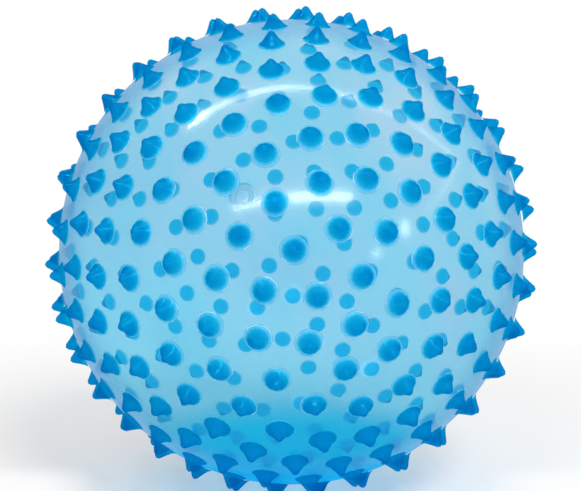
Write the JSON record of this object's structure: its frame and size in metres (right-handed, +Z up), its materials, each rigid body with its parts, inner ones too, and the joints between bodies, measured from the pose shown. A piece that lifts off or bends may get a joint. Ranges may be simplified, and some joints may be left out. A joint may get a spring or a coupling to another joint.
{
  "type": "sensory ball",
  "caption": "Translucent inflatable ball covered in rows of soft pointed nubs, with a plugged valve, for touch play, rolling and massage.",
  "frame": {"origin": "centre of the ball", "axes": "+Z up as the ball lies in the picture, -Y towards the viewer, +X to the viewer's right; the floor is under the four tips that are pressed flat"},
  "size_m": [0.1798, 0.1793, 0.178],
  "materials": {
    "skin": "glossy, translucent",
    "nub": "glossy",
    "valve": "satin",
    "plug": "satin"
  },
  "bodies": {
    "ball": {"skin": "skin", "nub_front_pole": "nub", "nub_row_01": "nub", "nub_row_02": "nub", "nub_row_03": "nub", "nub_row_04": "nub", "nub_row_05": "nub", "nub_row_06": "nub", "nub_row_07": "nub", "nub_row_08": "nub", "nub_row_09": "nub", "nub_row_10": "nub", "nub_row_11": "nub", "nub_row_12": "nub", "nub_row_13": "nub", "nub_row_14": "nub", "nub_row_15": "nub", "nub_row_16": "nub", "valve_body": "valve"},
    "plug": {"valve_plug": "plug"}
  },
  "joints": [
    {"name": "plug_pull", "type": "slide", "parent": "ball", "child": "plug", "axis": [-0.2382, 0.9556, 0.1736], "range_m": [0, 0.016]}
  ]
}
